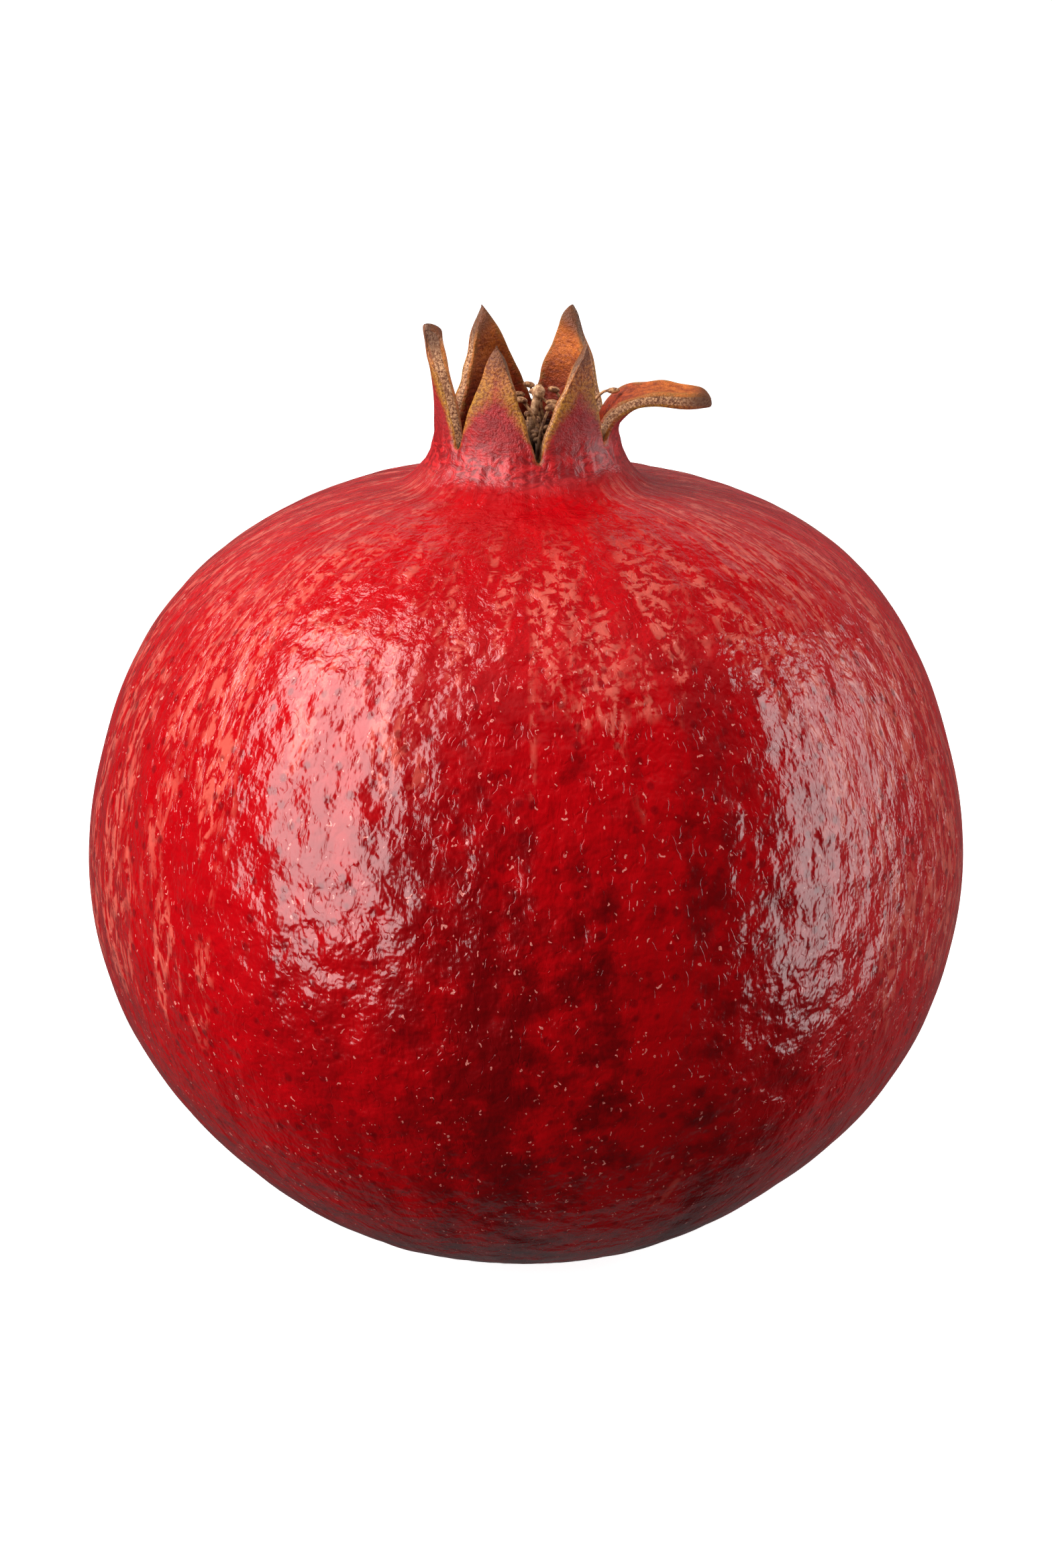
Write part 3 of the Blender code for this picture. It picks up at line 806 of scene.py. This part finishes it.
class Finish:
    """The nodes of one material, or of the surroundings."""

    def __init__(self, owner):
        owner.use_nodes = True
        self.owner = owner
        self.tree = owner.node_tree

    def feed(self, socket, value):
        if isinstance(value, Value):
            self.tree.links.new(value.socket, socket)
        else:
            socket.default_value = value

    def node(self, kind, settings, inputs, output=0):
        """Adds a node: its settings come first, then the values or links of its sockets."""
        made = self.tree.nodes.new(kind)
        for name, value in settings.items():
            setattr(made, name, value)
        for key, value in inputs.items():
            self.feed(made.inputs[key], value)
        return Value(self, made.outputs[output])

    def place(self):
        """Object coordinates, in millimetres."""
        return self.stretch(self.node("ShaderNodeTexCoord", {}, {}, "Object"), (1 / MM, 1 / MM, 1 / MM))

    def attribute(self, name, output="Fac"):
        return self.node("ShaderNodeAttribute", {"attribute_name": name}, {}, output)

    def stretch(self, vector, factors):
        return self.node("ShaderNodeVectorMath", {"operation": "MULTIPLY"}, {0: vector, 1: factors})

    def shift(self, vector, steps):
        return self.node("ShaderNodeVectorMath", {"operation": "ADD"}, {0: vector, 1: steps})

    def part(self, vector, axis):
        return self.node("ShaderNodeSeparateXYZ", {}, {0: vector}, axis)

    def grain(self, where, size, detail, roughness=0.5):
        """Noise from 0 to 1 with features of about a size, and finer ones in as many layers as detail."""
        inputs = {"Vector": where, "Scale": 1 / size, "Detail": detail, "Roughness": roughness}
        return self.node("ShaderNodeTexNoise", {}, inputs)

    def cells(self, where, size):
        """Distance from the middles of cells of a size."""
        return self.node("ShaderNodeTexVoronoi", {}, {"Vector": where, "Scale": 1 / size}, "Distance")

    def bent(self, where, size, reach):
        """The place, pushed about by up to half a reach in waves of a size."""
        inputs = {"Vector": where, "Scale": 1 / size, "Detail": 0}
        push = self.node("ShaderNodeTexNoise", {}, inputs, "Color")
        return self.shift(where, self.stretch(push, (reach, reach, reach)))

    def step(self, value, low, high):
        """0 at low and 1 at high, with a smooth rise between. Low may be the larger."""
        settings = {"interpolation_type": "SMOOTHSTEP"}
        return self.node("ShaderNodeMapRange", settings, {"Value": value, "From Min": low, "From Max": high})

    def blend(self, share, first, second):
        """The first colour, turning into the second as share goes from 0 to 1."""
        return self.node("ShaderNodeMix", {"data_type": "RGBA"}, {0: share, 6: first, 7: second}, 2)

    def relief(self, height):
        """A normal bent by a height in millimetres."""
        return self.node("ShaderNodeBump", {}, {"Height": height, "Distance": MM})


def new_finish(name):
    return Finish(bpy.data.materials.new(name))


def dress(finish, colour, roughness, normal, **fixed):
    """Sets the surface shader's varying inputs, and those that are the same all over."""
    shader = finish.tree.nodes["Principled BSDF"]
    finish.feed(shader.inputs["Base Color"], colour)
    finish.feed(shader.inputs["Roughness"], roughness)
    finish.feed(shader.inputs["Normal"], normal)
    for name, value in fixed.items():
        shader.inputs[name.replace("_", " ")].default_value = value
    return finish.owner


def body_colour(rind, place, flow, away, ridge, dots):
    """Crimson, lighter to the left, the right and on top by painted light, with salmon ridges that are
    partly painted sheen high up and at the sides, and pale dots that are partly painted glints.
    """
    side = rind.part(place, "X")
    height = rind.part(place, "Z")
    bands = rind.grain(rind.stretch(flow, (1, 1, 0.15)), BAND_SIZE, 1)
    clouds = rind.grain(place, CLOUD_SIZE, 4, 0.65)
    colour = rind.blend(rind.step(bands * 0.45 + clouds * 0.55, 0.41, 0.60), *tones(BODY_REDS))
    # Painted light: lighter reds where the left, the right and the top are lit.
    colour = rind.blend(rind.step(side, *LEFT_X) * 0.8, colour, tone(*PAINTED_LIGHT_LEFT_RED))
    colour = rind.blend(rind.step(side, *RIGHT_X) * 0.7, colour, tone(*PAINTED_LIGHT_RIGHT_RED))
    colour = rind.blend(rind.step(height, *UPPER_Z) * 0.75, colour, tone(*PAINTED_LIGHT_UPPER_RED))
    # The salmon net is partly the skin's own mottling and partly painted sheen, spread high up and away from
    # the front.
    fields = rind.grain(rind.bent(rind.stretch(flow, (1, 1, 0.35)), 5, 7), FIELD_SIZE, 2)
    spread = rind.step(rind.step(height, *FIELDS_Z) * 0.8 + away, 0, 1) * 0.31
    net = rind.step(ridge, 0.46, 0.58) * rind.step(fields + spread, 0.72, 0.86)
    bare = rind.step(height, *BARE_Z) * (1 - away)
    colour = rind.blend(net * (1 - bare) * 0.88, colour, tone(*SALMON_AND_SHEEN))
    spots = rind.step(rind.cells(rind.shift(flow, (5, 3, 8)), SPOT_SPACING), 0.28, 0.14)
    colour = rind.blend(spots * rind.step(height, *SPOTS_Z) * 0.6, colour, tone(*DARK_SPOT))
    # Pale dots: partly lenticels, partly painted glints.
    return rind.blend(dots * rind.step(height, *DOTS_Z), colour, tone(*PALE_DOT_AND_GLINT))


def ridges(rind, place, flow, away):
    """Wavy ridges that run up and down the skin, and turn into a net high up in front, from 0 to 1."""
    strands = rind.bent(rind.stretch(flow, (1, 1, 0.42)), 1.8, 1.9)
    along = rind.grain(strands, STRAND_SIZE, 3, 0.58)
    netted = rind.grain(rind.bent(place, 1.8, 1.6), NET_SIZE, 3, 0.58)
    top = rind.step(rind.part(place, "Z"), *NET_Z) * (1 - 0.7 * away)
    return along * (1 - top) + netted * top


def lenticels_and_glints(rind, flow):
    """Small pale rings, dashes and dots of uneven size, partly lenticels and partly painted glints, 0 to 1.
    """
    apart = rind.cells(rind.bent(rind.stretch(flow, (1, 1, 0.8)), 0.5, 1.1), DOT_SPACING)
    chance = rind.part(apart.beside("Color"), "X")
    size = DOT_LEAST + DOT_SPREAD * chance
    ring = 0.2 + 0.8 * rind.step(apart, size * 0.2, size * 0.6)
    return rind.step(apart, size, size * 0.72) * ring * rind.step(chance, 0.1, 0.6)


def neck_folds(rind, place):
    """Fine wavy wrinkles that run round the neck, from 0 to 1."""
    return rind.grain(rind.bent(rind.stretch(place, (1, 1, 1.5)), 2.5, 2.8), FOLD_SIZE, 3, 0.6)


def neck_colour(rind, place, folds):
    """Pinkish red, with painted shade that darkens the creases of its folds."""
    # Painted shade: the creases of the folds are darker.
    colour = rind.blend(rind.step(folds, 0.40, 0.60), *tones(NECK_CREASE_SHADE_REDS))
    patches = rind.step(rind.grain(place, PATCH_SIZE, 2), 0.42, 0.62)
    return rind.blend(patches * 0.45, colour, tone(*NECK_PATCH))


def sepal_outer_colour(rind, place, crown, margin, neck_red):
    """Wine red low down, olive and then tan towards the margins, brown at the tip."""
    drift = (rind.grain(place, DRIFT_SIZE, 3, 0.6) - 0.5) * 1.6
    red = rind.blend(rind.step(crown, -0.3, 0.3) * 0.55, neck_red, tone(*WINE_RED))
    grains = rind.step(rind.grain(place, FIBRE_SIZE, 3, 0.7), 0.4, 0.6)
    ochre = rind.blend(grains, *tones(OCHRES))
    olive = rind.blend(grains, *tones(OLIVES))
    dry = rind.blend(rind.step(crown + drift * 0.15, 0.5, 0.8), olive, ochre)
    reach = 0.7 + 3.6 * rind.step(crown, 0.10, 0.75)
    edge = rind.step(margin + drift, reach, reach * 0.2 - 0.4)
    colour = rind.blend(edge * 0.9, red, dry)
    return rind.blend(rind.step(crown + drift * 0.08, 0.70, 0.95) * 0.75, colour, tone(*OUTER_TIP))


def sepal_inner_colour(rind, place, crown, margin):
    """Orange-brown and mottled, darker and redder lower down, with nearly black painted shade in the cup."""
    mottle = rind.grain(rind.stretch(place, (1, 1, 1.8)), MOTTLE_SIZE, 4, 0.65)
    mottle = rind.step(mottle, 0.30, 0.68)
    high = rind.blend(mottle, *tones(INNER_ORANGES))
    low = rind.blend(mottle, *tones(INNER_REDS))
    colour = rind.blend(rind.step(crown, 0.1, 0.7), low, high)
    # Painted shade down in the cup.
    colour = rind.blend(rind.step(crown, 0.08, -0.3), colour, tone(*PAINTED_CUP_SHADE))
    rim = rind.step(margin + (mottle - 0.5) * 0.8, 0.8, -0.2) * rind.step(crown, 0.02, 0.2)
    colour = rind.blend(rim * 0.6, colour, tone(*INNER_RIM))
    return rind.blend(rind.step(crown + mottle * 0.05, 0.78, 0.97) * 0.8, colour, tone(*INNER_TIP))


def edge_colour(rind, place, crown):
    """The thick dry margin: tan specks on brown, blackish green in the notches and brown at the tip."""
    specks = rind.step(rind.grain(place, SPECK_SIZE, 2, 0.6), 0.40, 0.62)
    colour = rind.blend(specks, *tones(EDGE_TANS))
    patches = rind.step(rind.grain(place, DRIFT_SIZE, 3), 0.46, 0.68)
    colour = rind.blend(patches * 0.5, colour, tone(*EDGE_BROWN))
    colour = rind.blend(rind.step(crown + specks * 0.06, 0.72, 0.97) * 0.8, colour, tone(*EDGE_TIP))
    return rind.blend(rind.step(crown, 0.12, 0.0), colour, tone(*NOTCH_GREEN))


def rind_finish():
    """The body, the neck, and the outer, edge and inner faces of the sepals, blended where they meet."""
    rind = new_finish("rind")
    place = rind.place()
    flow = rind.stretch(rind.attribute("flow", "Vector"), (1 / MM, 1 / MM, 1 / MM))
    crown = rind.attribute("crown")
    inner = rind.attribute("inner")
    margin = rind.attribute("margin") * (1 / MM)
    neck = rind.step(crown, -0.95, -0.35)
    sepal = rind.step(crown, -0.12, 0.12)
    inside = rind.step(inner, 0.86, 0.98)
    strip = rind.step(inner, 0.02, 0.14) * (1 - inside)

    # Sides and back, high up, where the salmon net spreads as partly painted sheen; it also shapes the
    # ridges.
    away = rind.step(rind.part(flow, "Y"), *BACK_Y) * rind.step(rind.part(place, "Z"), *BACK_Z)
    ridge = ridges(rind, place, flow, away)
    dots = lenticels_and_glints(rind, flow)
    folds = neck_folds(rind, place)
    neck_red = neck_colour(rind, place, folds)
    colour = rind.blend(neck, body_colour(rind, place, flow, away, ridge, dots), neck_red)
    colour = rind.blend(sepal, colour, sepal_outer_colour(rind, place, crown, margin, neck_red))
    colour = rind.blend(strip, colour, edge_colour(rind, place, crown))
    colour = rind.blend(inside, colour, sepal_inner_colour(rind, place, crown, margin))

    dry = rind.step(crown, -0.1, 0.3)
    body = body_relief(rind, place, flow, ridge) * (1 - neck)
    wrinkles = folds * FOLD_HEIGHT * neck * (1 - dry * 0.5)
    fibres = rind.grain(place, FIBRE_SIZE, 2, 0.7) * FIBRE_HEIGHT * dry
    gloss = rind.grain(place, GLOSS_SIZE, 1) * ROUGHNESS_SPREAD + BODY_ROUGHNESS
    roughness = gloss * (1 - neck) + NECK_ROUGHNESS * neck * (1 - dry) + DRY_ROUGHNESS * dry
    return dress(rind, colour, roughness, rind.relief(body + wrinkles + fibres))


def body_relief(rind, place, flow, ridge):
    """Height of the skin's fine relief, in millimetres.

    Soft swells carry fine wandering cracks, and wavy ridges that are higher towards the sides and
    the back.
    """
    broad, fine = (rind.grain(place, size, detail, rough) * rise for size, detail, rough, rise in SWELLS)
    wander = rind.grain(rind.stretch(flow, (1, 1, 0.6)), CRACK_SIZE, 1, 0.6) - 0.5
    cracked = rind.step(rind.grain(place, DRIFT_SIZE, 0), 0.48, 0.64)
    cracks = rind.step(wander * wander, CRACK_WIDTH, 0) * cracked
    front = rind.step(rind.part(place, "Y"), *FRONT_Y) * rind.step(rind.part(place, "Z"), *FRONT_Z)
    strands = ridge * (RIDGE_HEIGHT - FRONT_RIDGE_LOSS * front)
    return broad + fine - cracks * CRACK_DEPTH + strands


def dry_fibre_finish(name, colours, grain_size):
    """Dried plant fibre with brown spots, and dark brown painted shade where it stands low in the cup."""
    dry = new_finish(name)
    place = dry.place()
    grains = dry.grain(place, grain_size, 3, 0.65)
    colour = dry.blend(dry.step(grains, 0.38, 0.62), *tones(colours))
    # Painted shade low in the cup.
    low = dry.step(dry.part(place, "Z"), *CUP_SHADE_Z)
    colour = dry.blend(low * 0.85, colour, tone(*PAINTED_LOW_CUP_SHADE))
    return dress(dry, colour, 0.62 + 0.2 * grains, dry.relief(grains * 0.06))


def stem_wood_finish():
    """Grey-brown bark round a paler cut face with a dark pith."""
    wood = new_finish("stem_wood")
    place = wood.place()
    across = wood.stretch(place, (1, 1, 0))
    radius = wood.node("ShaderNodeVectorMath", {"operation": "LENGTH"}, {0: across}, "Value")
    grains = wood.grain(place, WOOD_GRAIN, 4, 0.7)
    colour = wood.blend(wood.step(grains, 0.35, 0.65), *tones(CUT_WOODS))
    colour = wood.blend(wood.step(radius + grains, 2.3, 2.9), colour, tone(*BARK))
    colour = wood.blend(wood.step(radius + grains * 0.6, 0.9, 0.6), colour, tone(*PITH))
    return dress(wood, colour, 0.78 + 0.15 * grains, wood.relief(grains * 0.12))


def floor_finish():
    """Plain pale floor, lit evenly enough to stay pale to the horizon."""
    pale = new_finish("pale_floor")
    place = pale.place()
    colour = pale.blend(pale.grain(place, 400, 0), *FLOOR_COLOURS)
    relief = pale.relief(pale.grain(place, 0.5, 0) * 0.01)
    shader = pale.tree.nodes["Principled BSDF"]
    shader.inputs["Emission Color"].default_value = (1, 1, 1, 1)
    return dress(pale, colour, 0.9, relief, Emission_Strength=FLOOR_GLOW)


def add_floor():
    """Lit by the lights, and seen by the camera alone, so that the fruit reflects only the studio."""
    bm = bmesh.new()
    bmesh.ops.create_grid(bm, x_segments=FLOOR_CELLS, y_segments=FLOOR_CELLS, size=0.5 * FLOOR_SIZE)
    floor = add_piece("floor", bm, floor_finish())
    floor.visible_glossy = False
    floor.visible_diffuse = False
    floor.visible_shadow = False


def add_surroundings():
    """A backdrop behind the fruit, brighter high up, in a dim room. The camera sees white all round."""
    studio = Finish(bpy.data.worlds.new("studio"))
    bpy.context.scene.world = studio.owner
    direction = studio.node("ShaderNodeTexCoord", {}, {}, "Generated")
    view = (0, math.cos(CAMERA_RISE), -math.sin(CAMERA_RISE))
    dot = {"operation": "DOT_PRODUCT"}
    facing = studio.node("ShaderNodeVectorMath", dot, {0: direction, 1: view}, "Value")
    glow = studio.step(studio.part(direction, "Z"), *BACKDROP_GLOW_RISE)
    lit = ROOM_LIGHT + (BACKDROP_LIGHT + BACKDROP_GLOW * glow) * studio.step(facing, *BACKDROP_REACH)
    seen = studio.node("ShaderNodeLightPath", {}, {}, "Is Camera Ray")
    background = studio.tree.nodes["Background"]
    background.inputs["Color"].default_value = (1, 1, 1, 1)
    studio.feed(background.inputs["Strength"], lit * (1 - seen) + seen)


def add_softbox(name, azimuth, rise, roll, size, radiance):
    """A rectangular soft light that faces the fruit, rolled about the line to it.

    The fill light brightens the fruit and isn't mirrored in it.
    """
    light = bpy.data.lights.new(name, "AREA")
    light.shape = "RECTANGLE"
    light.size, light.size_y = size
    light.energy = radiance * math.pi * size[0] * size[1]
    box = bpy.data.objects.new(name, light)
    bpy.context.scene.collection.objects.link(box)
    up = math.radians(rise)
    away = radial(azimuth) * math.cos(up) + Vector((0, 0, math.sin(up)))
    box.location = CAMERA_TARGET + away * SOFTBOX_DISTANCE
    level = away.to_track_quat("Z", "Y")
    box.rotation_euler = (level @ Quaternion((0, 0, 1), math.radians(roll))).to_euler()
    box.visible_camera = False
    box.visible_glossy = name != FILL


def add_camera():
    camera_data = bpy.data.cameras.new("camera")
    camera_data.lens = CAMERA_LENS
    camera_data.sensor_fit = "VERTICAL"
    camera_data.sensor_height = CAMERA_SENSOR
    camera_data.shift_y = CAMERA_SHIFT
    camera = bpy.data.objects.new("camera", camera_data)
    bpy.context.scene.collection.objects.link(camera)
    away = Vector((0, -math.cos(CAMERA_RISE), math.sin(CAMERA_RISE)))
    camera.location = CAMERA_TARGET + away * CAMERA_DISTANCE
    camera.rotation_euler = (math.pi / 2 - CAMERA_RISE, 0, 0)
    bpy.context.scene.camera = camera


def dress_part(piece, node):
    """The piece stands for a solid: it moves with it and hides it."""
    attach(piece, "root")
    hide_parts(node)


def main():
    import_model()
    bpy.context.scene.view_settings.view_transform = "Standard"
    add_camera()
    add_surroundings()
    for softbox in SOFTBOXES:
        add_softbox(**softbox)
    add_floor()
    dress_part(make_skin(rind_finish()), "fruit")
    tan = dry_fibre_finish("dry_stamen", STAMEN_TANS, STAMEN_GRAIN)
    dress_part(make_stamens(tan), "stamens")
    pale_tan = dry_fibre_finish("dry_style", STYLE_TANS, STYLE_GRAIN)
    dress_part(make_style(pale_tan), "style")
    dress_part(make_stem_end(stem_wood_finish()), "stem_stub")


main()
